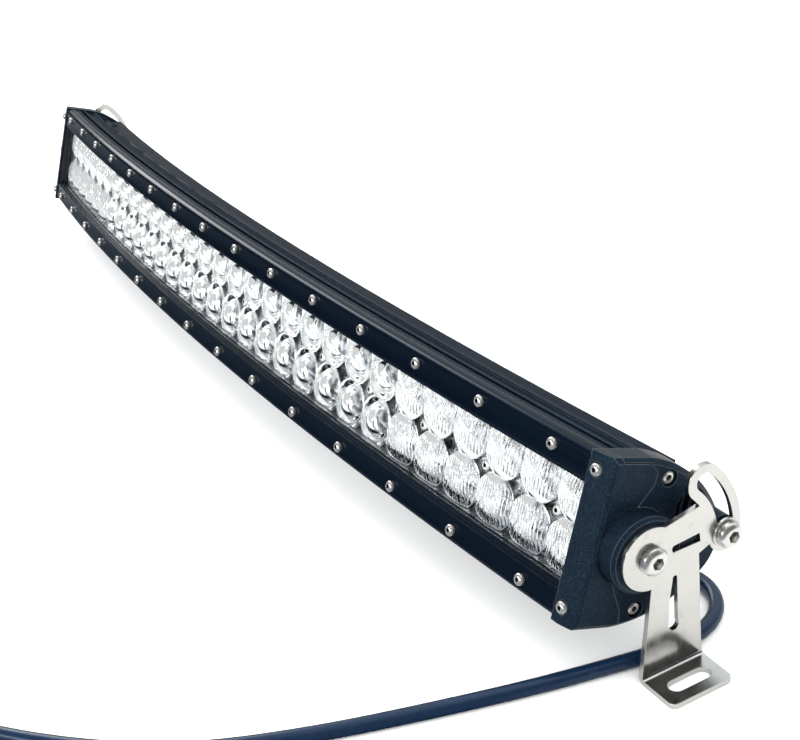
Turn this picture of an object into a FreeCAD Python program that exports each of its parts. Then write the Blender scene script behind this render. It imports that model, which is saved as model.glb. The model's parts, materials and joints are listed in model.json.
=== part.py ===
"""Curved double-row LED light bar on two tilting end brackets, with its supply lead.

The lamp is modelled upright in its own frame: X along the bar, Y towards the back, Z up. Long parts are
sections in (depth, height) turned about the vertical axis of the bar's arc. Depth 0 is the front of the rail
screws. The lamp is then tilted back about the bracket pivots and stood on the bracket feet.
"""
import FreeCAD, Part
import math
import os

V = FreeCAD.Vector
X_AXIS = V(1, 0, 0)
Y_AXIS = V(0, 1, 0)
Z_AXIS = V(0, 0, 1)

# Driving dimensions, millimetres and degrees
ARC_R = 3043.0              # radius of the front of the rail screws, seen from above
TILT = 20.5                 # how far the lamp leans back on its brackets
PIVOT_Y = 47.3              # pivot axis behind the front of the middle rail screw
PIVOT_H = 60.0              # pivot axis above the underside of the feet
END_X = 370.5               # sawn end of the housing, measured along the bar
SEAL_T = 1.2                # end seal between housing and cap
CAP_X = END_X + SEAL_T      # inner face of an end cap
CAP_OUT = 384.0             # outer face of an end cap
PLATE_T = 2.5               # bracket sheet
PLATE_IN = 394.1            # inner face of a bracket
PLATE_OUT = PLATE_IN + PLATE_T
PITCH = 50.0                # rail screws and optics, along the arc
COUNT = 15                  # optics, and screws in each row
ROW_Z = 31.4                # rail screw rows above and below the middle
HALF_H = 38.0               # half height of the housing
SWEEP = 7.7                 # half angle of a long part before its ends are sawn square

RAIL_FRONT = 2.0            # depth of the rails' front edge
LENS_D0, LENS_D1 = 6.0, 8.4
SHELF_D = 9.4               # front of the housing's flanges
BOARD_D0, BOARD_D1 = 24.4, 26.0
DUCT_D0, DUCT_D1 = 33.0, 42.0
DUCT_BACK = 44.5
DUCT_Z = 9.5
MIDDLE_D = 13.8             # front of the optic screws
LEAD_S = 222.0              # hole for the leads between duct and boards, along the arc
DRIVER_S = 140.0            # middle of the driver board
SIDE_SCREW = (PIVOT_Y + 10.5, 30.0)   # side screws in the caps: Y and height
EAR_S, EAR_Z = 377.3, 30.9  # front screws in the caps, along the arc and in height
CORE_X = 379.0              # outer side of the plate's core under the front casting
CORE_Y = PIVOT_Y - 17.9     # front of that core

BOSS_R = 17.5
PIVOT_BOLT_R = 4.0
PIVOT_HEAD_R, ADJUST_HEAD_R = 6.3, 5.8
WASHER_R, WASHER_T = 6.9, 1.2
SLOT_R = 38.0               # radius of the adjusting slot about the pivot
SLOT_HALF_W = 4.2
SLOT_LOW, SLOT_HIGH = -4.2, 42.0
BOLT_ANGLE = -3.4           # adjusting bolt in the slot, in the bracket's own frame
FOOT_OUT = 417.1            # outer edge of the foot
FOOT_FRONT, FOOT_BACK = -8.0, 23.5
FOOT_SLOT_L, FOOT_SLOT_W = 21.0, 7.6
FOOT_SLOT_X, FOOT_SLOT_Y = 407.6, 8.0

GLAND_S = 250.0             # gland, measured along the arc
VENT_S = -250.0
CORD_R = 3.5
CORD_START_D = 41.0
CORD_FIRST_RUN = 30.0

# Route of the lead: along the bar, behind the pivot, above the floor. Its first point is inside the gland.
CORD_ROUTE = [
    (248.4, 45.1, 32.8), (257.9, 48.3, 14.3), (275.7, 50.1, 3.5), (299.0, 48.5, 3.5), (323.0, 49.0, 3.5),
    (344.5, 54.0, 3.5), (363.0, 56.5, 3.5), (378.9, 48.0, 3.5), (387.3, 32.2, 3.5), (387.0, 11.0, 3.5),
    (382.5, -11.0, 3.5), (374.5, -44.0, 3.5), (361.0, -88.0, 3.5), (344.0, -137.0, 3.5),
    (322.0, -184.0, 3.5), (291.0, -222.0, 3.5), (250.0, -258.0, 3.5), (208.0, -287.0, 3.5),
]
PLUG_L = 46.0

nodes = {}


# ---------------------------------------------------------------- small helpers
def box(x0, x1, y0, y1, z0, z1):
    return Part.makeBox(x1 - x0, y1 - y0, z1 - z0, V(x0, y0, z0))


def rod(start, axis, radius, length):
    return Part.makeCylinder(radius, length, V(*start), axis)


def ring(start, axis, outer, inner, length):
    return rod(start, axis, outer, length).cut(rod(start, axis, inner, length))


def wire(start, steps, place):
    """Closed outline. A step is a corner (a, b), or ((a, b), (a, b)): an arc's middle and its end."""
    edges = []
    here = start
    for step in list(steps) + [start]:
        if isinstance(step[0], tuple):
            middle, end = step
            edges.append(Part.Arc(place(here), place(middle), place(end)).toShape())
        else:
            end = step
            if end == here:
                continue
            edges.append(Part.makeLine(place(here), place(end)))
        here = end
    return Part.Wire(edges)


def prism_x(start, steps, x0, x1):
    """Outline in (Y, Z), extruded along X."""
    outline = wire(start, steps, lambda p: V(x0, p[0], p[1]))
    return Part.Face(outline).extrude(V(x1 - x0, 0, 0))


def prism_z(start, steps, z0, z1):
    """Outline in (X, Y), extruded along Z."""
    outline = wire(start, steps, lambda p: V(p[0], p[1], z0))
    return Part.Face(outline).extrude(V(0, 0, z1 - z0))


def swept(start, steps, half_angle=SWEEP, middle_angle=0.0):
    """Section in (depth, height), turned about the vertical axis of the arc."""
    face = Part.Face(wire(start, steps, lambda p: V(0, p[0], p[1])))
    face.rotate(V(0, ARC_R, 0), Z_AXIS, middle_angle - half_angle)
    return face.revolve(V(0, ARC_R, 0), Z_AXIS, 2 * half_angle)


def swept_box(d0, d1, z0, z1, half_angle=SWEEP, middle_angle=0.0):
    return swept((d0, z0), [(d1, z0), (d1, z1), (d0, z1)], half_angle, middle_angle)


def sawn(shape, end=END_X):
    return shape.common(box(-end, end, -60, 140, -60, 60))


def at_arc(shape, s):
    """Move a shape modelled at the middle of the bar to s along the arc."""
    moved = shape.copy()
    moved.rotate(V(0, ARC_R, 0), Z_AXIS, math.degrees(s / ARC_R))
    return moved


def stations():
    first = -PITCH * (COUNT - 1) / 2
    return [first + PITCH * i for i in range(COUNT)]


def hexagon(across, y0, y1):
    radius = across / math.sqrt(3)
    corners = [V(radius * math.cos(math.radians(60 * k)), y0, radius * math.sin(math.radians(60 * k)))
               for k in range(6)]
    return Part.Face(Part.makePolygon(corners + corners[:1])).extrude(V(0, y1 - y0, 0))


def screw(head_r, head_h, shank_r, shank_l, socket):
    """Round-headed socket screw along +Y, with the top of its head at the origin."""
    edge = head_h * 0.45
    dome = wire((0, 0), [(head_r * 0.45, 0), ((head_r * 0.84, edge * 0.42), (head_r, edge)), (head_r, head_h),
                         (shank_r, head_h), (shank_r, head_h + shank_l), (0, head_h + shank_l)],
                lambda p: V(p[0], p[1], 0))
    solid = Part.Face(dome).revolve(V(0, 0, 0), Y_AXIS, 360)
    return solid.cut(hexagon(socket, -1, head_h * 0.7))


def group(shapes):
    return Part.makeCompound(shapes)


def mirrored(shape):
    return shape.mirror(V(0, 0, 0), X_AXIS)


# ---------------------------------------------------------------- housing, rails, lens
def fin_envelope(z):
    """Depth of the fin tips at a height."""
    return 28.0 + 39.0 * math.sqrt(max(0.0, 1 - (abs(z) / 38.5) ** 1.55))


def housing():
    top = [(SHELF_D, 37.9), (11.6, 37.9), (11.6, 35.0), (15.3, 35.0), (15.3, 37.9), (16.8, 37.9), (17.3, 36.6),
           (24.2, 36.6), (24.6, 37.5), ((27.6, 36.8), (29.2, 34.0)), (29.2, 33.6)]
    front = [(SHELF_D, -23.6), (BOARD_D1, -23.6), (BOARD_D1, 23.6), (SHELF_D, 23.6)]
    back = [(31.0, 33.6), (31.0, -33.6)]
    lower = [(29.2, -33.6), ((27.6, -36.8), (24.6, -37.5)), (24.2, -36.6), (17.3, -36.6), (16.8, -37.9),
             (15.3, -37.9), (15.3, -35.0), (11.6, -35.0), (11.6, -37.9)]
    body = swept((SHELF_D, -37.9), front + top + back + lower)
    for sign in (-1, 1):
        body = body.cut(swept_box(17.5, 27.6, min(sign * 26.6, sign * 32.6), max(sign * 26.6, sign * 32.6)))
    return body


def fins():
    """Long cooling fins along the back, and the closed wiring duct between them."""
    parts = []
    for height in (31.4, 25.6, 19.8, 14.0):
        for sign in (-1, 1):
            tip = fin_envelope(height)
            low, high = sorted((sign * (height - 1.1), sign * (height + 1.1)))
            parts.append(swept_box(30.5, tip, low, high))
    duct = swept_box(30.5, DUCT_BACK, -DUCT_Z - 2, DUCT_Z + 2)
    parts.append(duct)
    for height in (-9.0, -3.0, 3.0, 9.0):
        parts.append(swept_box(DUCT_BACK - 0.5, fin_envelope(height), height - 1.0, height + 1.0))
    return parts


def gland_pocket(s, radius):
    return at_arc(rod((0, DUCT_BACK, 0), Y_AXIS, radius, 60), s)


def housing_extrusion():
    body = housing()
    for part in fins():
        body = body.fuse(part)
    body = body.cut(swept_box(DUCT_D0, DUCT_D1, -DUCT_Z, DUCT_Z))
    body = sawn(body)
    for sign in (-1, 1):
        for side in (-1, 1):
            boss = rod((side * END_X, SIDE_SCREW[0], sign * SIDE_SCREW[1]), V(-side, 0, 0), 3.6, 24)
            body = body.fuse(boss)
    holes = []
    for s in stations():
        for sign in (-1, 1):
            holes.append(at_arc(rod((0, SHELF_D - 1, sign * ROW_Z), Y_AXIS, 1.55, 7), s))
        holes.append(at_arc(rod((0, BOARD_D1 - 1, 0), Y_AXIS, 1.55, 5), s))
    for side in (-1, 1):
        for sign in (-1, 1):
            holes.append(rod((side * (END_X + 1), SIDE_SCREW[0], sign * SIDE_SCREW[1]), V(-side, 0, 0), 1.8, 21))
    holes += [gland_pocket(GLAND_S, 12.5), gland_pocket(VENT_S, 10.5)]
    holes.append(at_arc(rod((0, DUCT_D1 - 1, 0), Y_AXIS, 6.05, 5), GLAND_S))
    holes.append(at_arc(rod((0, DUCT_D1 - 1, 0), Y_AXIS, 3.05, 5), VENT_S))
    holes.append(at_arc(rod((0, BOARD_D1 - 1, -4.0), Y_AXIS, 2.6, DUCT_D0 - BOARD_D1 + 2), LEAD_S))
    return body.cut(group(holes)).removeSplitter()


def lens_rail():
    """Top rail: stepped lip at the lens, hollowed front face, rounded upper edge."""
    start = (5.95, 22.4)
    steps = [(4.6, 22.4), (4.6, 23.5), (3.3, 23.5), (3.3, 24.6), (RAIL_FRONT, 24.6),
             ((2.35, 29.6), (RAIL_FRONT, 34.6)), ((3.9, 37.3), (8.2, HALF_H)), (8.2, 36.6), (9.35, 36.6),
             (9.35, 26.2), (5.95, 26.2)]
    rail = sawn(swept(start, steps))
    holes = []
    for s in stations():
        holes.append(at_arc(rod((0, -1, ROW_Z), Y_AXIS, 2.95, 3.3), s))
        holes.append(at_arc(rod((0, 0, ROW_Z), Y_AXIS, 1.55, 12), s))
    return rail.cut(group(holes))


def lens_cover():
    return sawn(swept_box(LENS_D0, LENS_D1, -25.8, 25.8), END_X - 0.3)


def lens_gasket():
    outer = sawn(swept_box(LENS_D1, SHELF_D, -26.0, 26.0), END_X - 0.3)
    inner = sawn(swept_box(LENS_D1 - 1, SHELF_D + 1, -23.7, 23.7), END_X - 4.5)
    return outer.cut(inner)


# ---------------------------------------------------------------- optics and electronics
def optic_cup(x, z):
    """One solid lens cup: narrow behind, over its LED, and domed in front."""
    profile = wire((0, 9.0), [((7.9, 9.8), (13.5, 12.5)), (13.5, 13.6), (6.2, 22.6), (2.6, 22.6), (2.6, 21.3),
                              (0, 21.3)], lambda p: V(p[0], p[1], 0))
    cup = Part.Face(profile).revolve(V(0, 0, 0), Y_AXIS, 360)
    cup.translate(V(x, 0, z))
    return cup


def optic_module(s):
    half = PITCH / 4
    body = box(-24.7, 24.7, 15.9, 17.5, -23.0, 23.0)
    for x in (-half, half):
        for z in (-half, half):
            body = body.fuse(optic_cup(x, z))
    for x in (-21.0, 21.0):
        body = body.fuse(rod((x, 17.0, 0), Y_AXIS, 1.6, BOARD_D0 - 17.2))
    body = body.cut(rod((0, 10, 0), Y_AXIS, 1.65, 12))
    body = body.common(box(-24.8, 24.8, 8, 30, -23.4, 23.4))
    return sawn(at_arc(body, s), END_X - 0.3)


def led_board(first, last):
    """Aluminium-backed board, bent to the arc, from one arc station to another."""
    middle = math.degrees((first + last) / 2 / ARC_R)
    half = math.degrees((last - first) / 2 / ARC_R)
    board = swept_box(BOARD_D0 + 0.02, BOARD_D1 - 0.02, -22.8, 22.8, half, middle)
    holes = [at_arc(rod((0, BOARD_D0 - 1, 0), Y_AXIS, 1.65, 4), s) for s in stations()]
    holes += [at_arc(rod((0, BOARD_D0 - 1, -4.0), Y_AXIS, 2.6, 4), LEAD_S)]
    return board.cut(group(holes))


def led_emitters():
    chips = []
    quarter = PITCH / 4
    for s in stations():
        for x in (-quarter, quarter):
            for z in (-quarter, quarter):
                base = box(x - 1.6, x + 1.6, BOARD_D0 - 0.8, BOARD_D0, z - 1.6, z + 1.6)
                dome = Part.makeSphere(1.3, V(x, BOARD_D0 - 0.8, z), V(0, -1, 0), 0, 90, 360)
                chips.append(at_arc(base.fuse(dome), s))
    return group(chips)


def driver_board():
    board = box(-70, 70, DUCT_D0 + 1.2, DUCT_D1 - 1.2, -8.2, -6.6)
    return at_arc(board, DRIVER_S)


def driver_components():
    """Choke, capacitors and switching devices standing on the driver board."""
    mid = (DUCT_D0 + DUCT_D1) / 2
    parts = [rod((-45, mid, -6.6), Z_AXIS, 3.4, 9.0), rod((-34, mid, -6.6), Z_AXIS, 3.4, 9.0),
             rod((58, mid, -6.6), Z_AXIS, 3.0, 8.0)]
    choke = ring((0, mid, -6.6), Z_AXIS, 3.5, 1.4, 6.0)
    parts.append(choke)
    for x in (-18, 16, 30, 44):
        parts.append(box(x - 4.5, x + 4.5, mid - 2.6, mid + 2.6, -6.6, -4.4))
    return group([at_arc(part, DRIVER_S) for part in parts])


def internal_leads():
    """Two leads from the driver board's edge through the housing wall to the LED board."""
    leads = []
    for x in (-1.3, 1.3):
        along = rod((x, BOARD_D0 + 0.3, -4.0), Y_AXIS, 0.8, DUCT_D0 - BOARD_D0 + 3.2)
        leads.append(at_arc(along, LEAD_S))
    return group(leads)


# ---------------------------------------------------------------- end caps
def rel(points):
    """Outline points given behind and above the pivot."""
    out = []
    for p in points:
        if isinstance(p[0], tuple):
            out.append(((p[0][0] + PIVOT_Y, p[0][1]), (p[1][0] + PIVOT_Y, p[1][1])))
        else:
            out.append((p[0] + PIVOT_Y, p[1]))
    return out


def cap_outline(inset):
    """D-shaped end of the lamp: flat top and bottom, rounded back."""
    k = inset
    points = [(-24.5, 36.5 - k), ((-23.6, 37.9 - k), (-22.0, 38.5 - k)), (0.0, 38.5 - k),
              ((23.0 - k * 0.4, 31.6 - k), (41.0 - k, 17.0 - k * 0.6)), ((48.2 - k, 0.0), (41.0 - k, -17.0 + k * 0.6)),
              ((23.0 - k * 0.4, -31.6 + k), (0.0, -38.5 + k)), (-22.0, -38.5 + k),
              ((-23.6, -37.9 + k), (-24.5, -36.5 + k))]
    moved = rel(points)
    return moved[0], moved[1:]


def cap_body():
    start, steps = cap_outline(0)
    flat = prism_x(start, steps, CAP_X, CAP_OUT - 2.0)
    inner_start, inner_steps = cap_outline(2.2)
    rim = Part.makeLoft([wire(start, steps, lambda p: V(CAP_OUT - 2.0, p[0], p[1])),
                         wire(inner_start, inner_steps, lambda p: V(CAP_OUT, p[0], p[1]))], True, True)
    front = prism_z((CAP_X - 1, PIVOT_Y - 23.1), [(CAP_X + 4.5, PIVOT_Y - 22.2), (382.2, PIVOT_Y - 19.6),
                    ((383.6, PIVOT_Y - 18.6), (CAP_OUT, PIVOT_Y - 16.6)), (CAP_OUT, 130), (CAP_X - 1, 130)], -60, 60)
    return flat.fuse(rim).common(front)


def cover_zone(gap):
    """Side view of the front casting, grown by the gap round its edge."""
    g = gap
    points = [(-40, -45), (2.8 + g, -45), (2.8 + g, -36.0), (1.5 + g, -29.8), (-2.8 + g, -22.5), (-9.9 + g, -10.7),
              (-11.5 + g, 0), (-9.7 + g, 6.0), (3.0 + g, 27.6), (3.0 + g, 33.0), (-1.6 + g, 36.5 + g), (-15.0, 36.5 + g),
              (-17.4, 45), (-40, 45)]
    moved = rel(points)
    return prism_x(moved[0], moved[1:], CAP_X - 2, CAP_OUT + 2)


def ear_screw_axis(shape, sign):
    moved = shape.copy()
    moved.translate(V(0, 0, sign * EAR_Z))
    return at_arc(moved, EAR_S)


def end_cap_front():
    """Die-cast front piece: it wraps the front corner and reaches back over the side in a tongue."""
    body = cap_body().common(cover_zone(0.0))
    core = box(CAP_X - 3, CORE_X, CORE_Y, 130, -60, 60)
    body = body.cut(core).cut(rod((CAP_X - 1, PIVOT_Y, 0), X_AXIS, BOSS_R + 0.4, 30))
    for sign in (-1, 1):
        body = body.cut(ear_screw_axis(rod((0, -2, 0), Y_AXIS, 3.3, 4.3), sign))
        body = body.cut(ear_screw_axis(rod((0, 0, 0), Y_AXIS, 1.7, 20), sign))
    return body


def cap_pocket():
    """Cored recess in the upper rear of the plate, with upright ribs left standing."""
    points = [(19.0, 9.5), (18.0, 18.0), (21.0, 24.6), (24.6, 26.6), (30.0, 24.4), (37.5, 17.5), (41.5, 9.0), (42.0, 2.0),
              (28.0, 5.0)]
    moved = rel(points)
    pocket = prism_x(moved[0], moved[1:], CAP_OUT - 6.5, CAP_OUT + 1)
    for a in (23.0, 27.4, 31.8):
        pocket = pocket.cut(box(CAP_OUT - 7, CAP_OUT - 2.2, PIVOT_Y + a - 0.6, PIVOT_Y + a + 0.6, -5, 40))
    return pocket


def adjust_centre():
    angle = math.radians(BOLT_ANGLE + TILT)
    return PIVOT_Y + SLOT_R * math.cos(angle), SLOT_R * math.sin(angle)


def end_cap_plate():
    """Cast end plate with the pivot boss and the post for the adjusting bolt."""
    whole = cap_body()
    core = whole.common(box(CAP_X - 3, CORE_X - 0.15, CORE_Y + 0.15, 130, -60, 60))
    boss_foot = whole.common(rod((CAP_X - 1, PIVOT_Y, 0), X_AXIS, BOSS_R, 30))
    body = whole.cut(cover_zone(0.35)).fuse(core).fuse(boss_foot)
    body = body.cut(cap_pocket())
    boss = rod((CAP_OUT - 3, PIVOT_Y, 0), X_AXIS, BOSS_R, PLATE_IN - 1.6 - CAP_OUT + 3)
    nose = Part.makeCone(BOSS_R, BOSS_R - 1.5, 1.5, V(PLATE_IN - 1.6, PIVOT_Y, 0), X_AXIS)
    y, z = adjust_centre()
    post = rod((CAP_X + 1, y, z), X_AXIS, 6.6, PLATE_IN - 0.1 - CAP_X - 1)
    body = body.fuse(boss).fuse(nose).fuse(post)
    body = body.cut(rod((CAP_X + 2, PIVOT_Y, 0), X_AXIS, PIVOT_BOLT_R + 0.05, 40))
    body = body.cut(rod((CAP_X + 3, y, z), X_AXIS, PIVOT_BOLT_R + 0.05, 40))
    for sign in (-1, 1):
        body = body.cut(rod((CAP_X - 1, SIDE_SCREW[0], sign * SIDE_SCREW[1]), X_AXIS, 2.05, 30))
        body = body.cut(rod((CAP_OUT - 3.2, SIDE_SCREW[0], sign * SIDE_SCREW[1]), X_AXIS, 3.9, 10))
        body = body.cut(ear_screw_axis(rod((0, 0, 0), Y_AXIS, 1.55, 17), sign))
    return body.removeSplitter()


def end_seal():
    start, steps = cap_outline(2.4)
    plate = prism_x(start, steps, END_X + 0.02, CAP_X - 0.02)
    plate = plate.common(box(END_X - 1, CAP_X + 1, PIVOT_Y - 21.0, 130, -60, 60))
    for sign in (-1, 1):
        plate = plate.cut(rod((END_X - 1, SIDE_SCREW[0], sign * SIDE_SCREW[1]), X_AXIS, 2.2, 5))
    return plate


def cap_front_screws():
    body = screw(2.75, 2.3, 1.5, 12.0, 2.0)
    return group([ear_screw_axis(body, sign) for sign in (-1, 1)])


def cap_side_screws():
    screws = []
    for sign in (-1, 1):
        body = screw(3.5, 2.6, 1.75, 26.0, 2.5)
        body.rotate(V(0, 0, 0), Z_AXIS, 90)
        body.translate(V(CAP_OUT - 3.2 + 2.6, SIDE_SCREW[0], sign * SIDE_SCREW[1]))
        screws.append(body)
    return group(screws)


# ---------------------------------------------------------------- brackets, in (Y, Z) about the pivot
def plate(points, x0=PLATE_IN, x1=PLATE_OUT):
    return prism_x(points[0], points[1:], x0, x1)


def polar(radius, degrees):
    angle = math.radians(degrees)
    return radius * math.cos(angle), radius * math.sin(angle)


def ring_sector(inner, outer, low, high, x0, x1):
    middle = (low + high) / 2
    band = plate([polar(inner, low), polar(outer, low), (polar(outer, middle), polar(outer, high)),
                  polar(inner, high), (polar(inner, middle), polar(inner, low))], x0, x1)
    centre = (inner + outer) / 2
    for angle in (low, high):
        y, z = polar(centre, angle)
        band = band.fuse(rod((x0, y, z), X_AXIS, (outer - inner) / 2, x1 - x0))
    return band


def bracket_sheet():
    """Folded strip seen from the front: upright sheet, rounded fold, foot bent outwards."""
    inner, outer = 1.5, 1.5 + PLATE_T
    low = -PIVOT_H
    half = math.sqrt(0.5)
    fold_x, fold_z = PLATE_OUT + inner, low + PLATE_T + inner
    outline = wire((PLATE_IN, 60), [(PLATE_IN, fold_z), ((fold_x - outer * half, fold_z - outer * half), (fold_x, low)),
                                    (FOOT_OUT, low), (FOOT_OUT, low + PLATE_T), (fold_x, low + PLATE_T),
                                    ((fold_x - inner * half, fold_z - inner * half), (PLATE_OUT, fold_z)),
                                    (PLATE_OUT, 60)],
                   lambda p: V(p[0], -50, p[1]))
    return Part.Face(outline).extrude(V(0, 120, 0))


def bracket():
    far = FOOT_OUT + 1
    disc = rod((PLATE_IN - 1, 0, 0), X_AXIS, 14.4, 8)
    leg = plate([(0.0, -12.0), (-1.2, -15.3), (-4.1, -34.6), (-7.1, -51.2), (FOOT_FRONT, -56.8), (FOOT_FRONT, -61),
                 (FOOT_BACK, -61), (FOOT_BACK, -40), (23.9, -7.0), (30.5, -4.5), (30.5, 8.0), (25.0, 15.4),
                 (8.0, 12.3), (0.0, 12.0)], PLATE_IN - 1, far)
    loop = ring_sector(SLOT_R - 8.6, SLOT_R + 8.2, SLOT_LOW, SLOT_HIGH, PLATE_IN - 1, PLATE_OUT + 1)
    sheet = bracket_sheet().common(disc.fuse(leg).fuse(loop))
    centre = SLOT_R
    slot = ring_sector(centre - SLOT_HALF_W, centre + SLOT_HALF_W, SLOT_LOW, SLOT_HIGH, PLATE_IN - 2, PLATE_OUT + 2)
    wedge = plate([(10.4, -0.2), ((10.6, 1.3), (12.0, 1.9)), (24.6, 2.7), (24.9, -1.4), (12.0, -1.3),
                   ((10.8, -1.1), (10.4, -0.2))], PLATE_IN - 2, PLATE_OUT + 2)
    taper = plate([(10.0, -14.2), ((11.2, -12.6), (12.3, -14.0)), (11.9, -35.6), ((10.0, -39.4), (6.6, -36.6)),
                   (7.6, -24.7)], PLATE_IN - 2, PLATE_OUT + 2)
    sheet = sheet.cut(slot).cut(wedge).cut(taper)
    sheet = sheet.cut(rod((PLATE_IN - 2, 0, 0), X_AXIS, PIVOT_BOLT_R + 0.08, 8))
    sheet = sheet.cut(foot_slot()).cut(foot_corners())
    return sheet.removeSplitter()


def foot_slot():
    reach = (FOOT_SLOT_L - FOOT_SLOT_W) / 2
    half = FOOT_SLOT_W / 2
    low = -PIVOT_H - 1
    cutter = box(FOOT_SLOT_X - half, FOOT_SLOT_X + half, FOOT_SLOT_Y - reach, FOOT_SLOT_Y + reach, low, low + 6)
    for sign in (-1, 1):
        cutter = cutter.fuse(rod((FOOT_SLOT_X, FOOT_SLOT_Y + sign * reach, low), Z_AXIS, half, 6))
    return cutter


def foot_corners():
    """What the two rounded corners of the foot take away."""
    radius = 3.0
    low = -PIVOT_H - 1
    cutters = []
    for y, sign in ((FOOT_FRONT, 1), (FOOT_BACK, -1)):
        y0, y1 = sorted((y, y + sign * radius))
        block = box(FOOT_OUT - radius, FOOT_OUT, y0, y1, low, low + 6)
        cutters.append(block.cut(rod((FOOT_OUT - radius, y + sign * radius, low), Z_AXIS, radius, 6)))
    return group(cutters)


def big_bolt(under_head, head_r):
    """M8 bolt along -X with a small round head, bearing at under_head."""
    body = screw(head_r, 4.4, PIVOT_BOLT_R, under_head - CAP_X - 3.5, 5.0)
    body.rotate(V(0, 0, 0), Z_AXIS, 90)
    body.translate(V(under_head + 4.4, 0, 0))
    return body


def pivot_bolt():
    body = big_bolt(PLATE_OUT + 0.05, PIVOT_HEAD_R)
    body.translate(V(0, PIVOT_Y, 0))
    return body


def adjust_bolt():
    y, z = adjust_centre()
    body = big_bolt(PLATE_OUT + 0.05 + WASHER_T, ADJUST_HEAD_R)
    body.translate(V(0, y, z))
    return body


def adjust_washer():
    y, z = adjust_centre()
    return ring((PLATE_OUT + 0.05, y, z), X_AXIS, WASHER_R, PIVOT_BOLT_R + 0.15, WASHER_T)


# ---------------------------------------------------------------- gland, vent, lead
def gland_body():
    hexes = hexagon(15.0, DUCT_BACK + 0.05, DUCT_BACK + 3.5)
    thread = rod((0, DUCT_D1 - 0.8, 0), Y_AXIS, 6.0, DUCT_BACK - DUCT_D1 + 1.0)
    collar = rod((0, DUCT_BACK + 3.0, 0), Y_AXIS, 6.0, 6.0)
    body = hexes.fuse(thread).fuse(collar)
    return at_arc(body.cut(rod((0, DUCT_D1 - 3, 0), Y_AXIS, CORD_R + 0.1, 20)), GLAND_S)


def gland_nut():
    """Domed nut that squeezes the seal round the lead."""
    start = DUCT_BACK + 3.6
    flats = hexagon(15.0, start, start + 7.0)
    profile = wire((0, start), [(7.3, start), (7.3, start + 8.0), ((6.4, start + 11.0), (4.6, start + 12.4)),
                                (0, start + 12.4)], lambda p: V(p[0], p[1], 0))
    nut = Part.Face(profile).revolve(V(0, 0, 0), Y_AXIS, 360).fuse(flats)
    nut = nut.cut(rod((0, start - 1, 0), Y_AXIS, 6.05, 6.6)).cut(rod((0, start + 5, 0), Y_AXIS, 4.9, 4.0))
    return at_arc(nut.cut(rod((0, start, 0), Y_AXIS, CORD_R + 0.1, 20)), GLAND_S)


def gland_seal():
    start = DUCT_BACK + 9.3
    return at_arc(ring((0, start, 0), Y_AXIS, 4.8, CORD_R + 0.05, 3.0), GLAND_S)


def breather_vent():
    stem = rod((0, DUCT_D1 - 0.5, 0), Y_AXIS, 3.0, 3.5)
    flange = hexagon(10.0, DUCT_BACK + 0.05, DUCT_BACK + 2.5)
    dome = Part.makeCone(5.4, 4.4, 2.6, V(0, DUCT_BACK + 2.5, 0), Y_AXIS)
    body = stem.fuse(flange).fuse(dome)
    for k in range(6):
        notch = box(-0.6, 0.6, DUCT_BACK + 3.2, DUCT_BACK + 6, 3.6, 7)
        notch.rotate(V(0, 0, 0), Y_AXIS, 60 * k)
        body = body.cut(notch)
    return at_arc(body, VENT_S)


def lead_route():
    """Centre line of the lead, in the frame of the finished part."""
    start = at_arc(Part.Vertex(0, CORD_START_D, 0), GLAND_S)
    leave = at_arc(Part.Vertex(0, CORD_START_D + CORD_FIRST_RUN, 0), GLAND_S)
    inside = [tilted(vertex).Point for vertex in (start, leave)]
    return inside + [V(x, y + SHIFT_Y, z) for x, y, z in CORD_ROUTE]


def tube(points, radius):
    """Straight runs joined by tangent arcs, each as large as its two runs allow."""
    edges = []
    here = points[0]
    for before, corner, after in zip(points, points[1:], points[2:]):
        a = (before - corner).normalize()
        b = (after - corner).normalize()
        half_turn = (math.pi - a.getAngle(b)) / 2
        cut = 0.45 * min((before - corner).Length, (after - corner).Length)
        arc_r = cut / math.tan(half_turn)
        inward = (a + b).normalize()
        middle = corner + inward * (arc_r / math.cos(half_turn) - arc_r)
        edges.append(Part.makeLine(here, corner + a * cut))
        edges.append(Part.Arc(corner + a * cut, middle, corner + b * cut).toShape())
        here = corner + b * cut
        print("cord turn %5.1f deg, radius %6.1f mm" % (math.degrees(2 * half_turn), arc_r))
    edges.append(Part.makeLine(here, points[-1]))
    path = Part.Wire(edges)
    circle = Part.Wire([Part.makeCircle(radius, points[0], points[1] - points[0])])
    solid = path.makePipeShell([circle], True, False)
    length = path.Length
    print("cord length %.1f mm, volume ratio %.4f" % (length, solid.Volume / (math.pi * radius ** 2 * length)))
    return solid


def along(shape, tip, heading):
    """Turn a shape modelled along +X to the heading, and put its origin at the tip."""
    moved = shape.copy()
    moved.rotate(V(0, 0, 0), Z_AXIS, math.degrees(math.atan2(heading.y, heading.x)))
    moved.translate(tip)
    return moved


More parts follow.
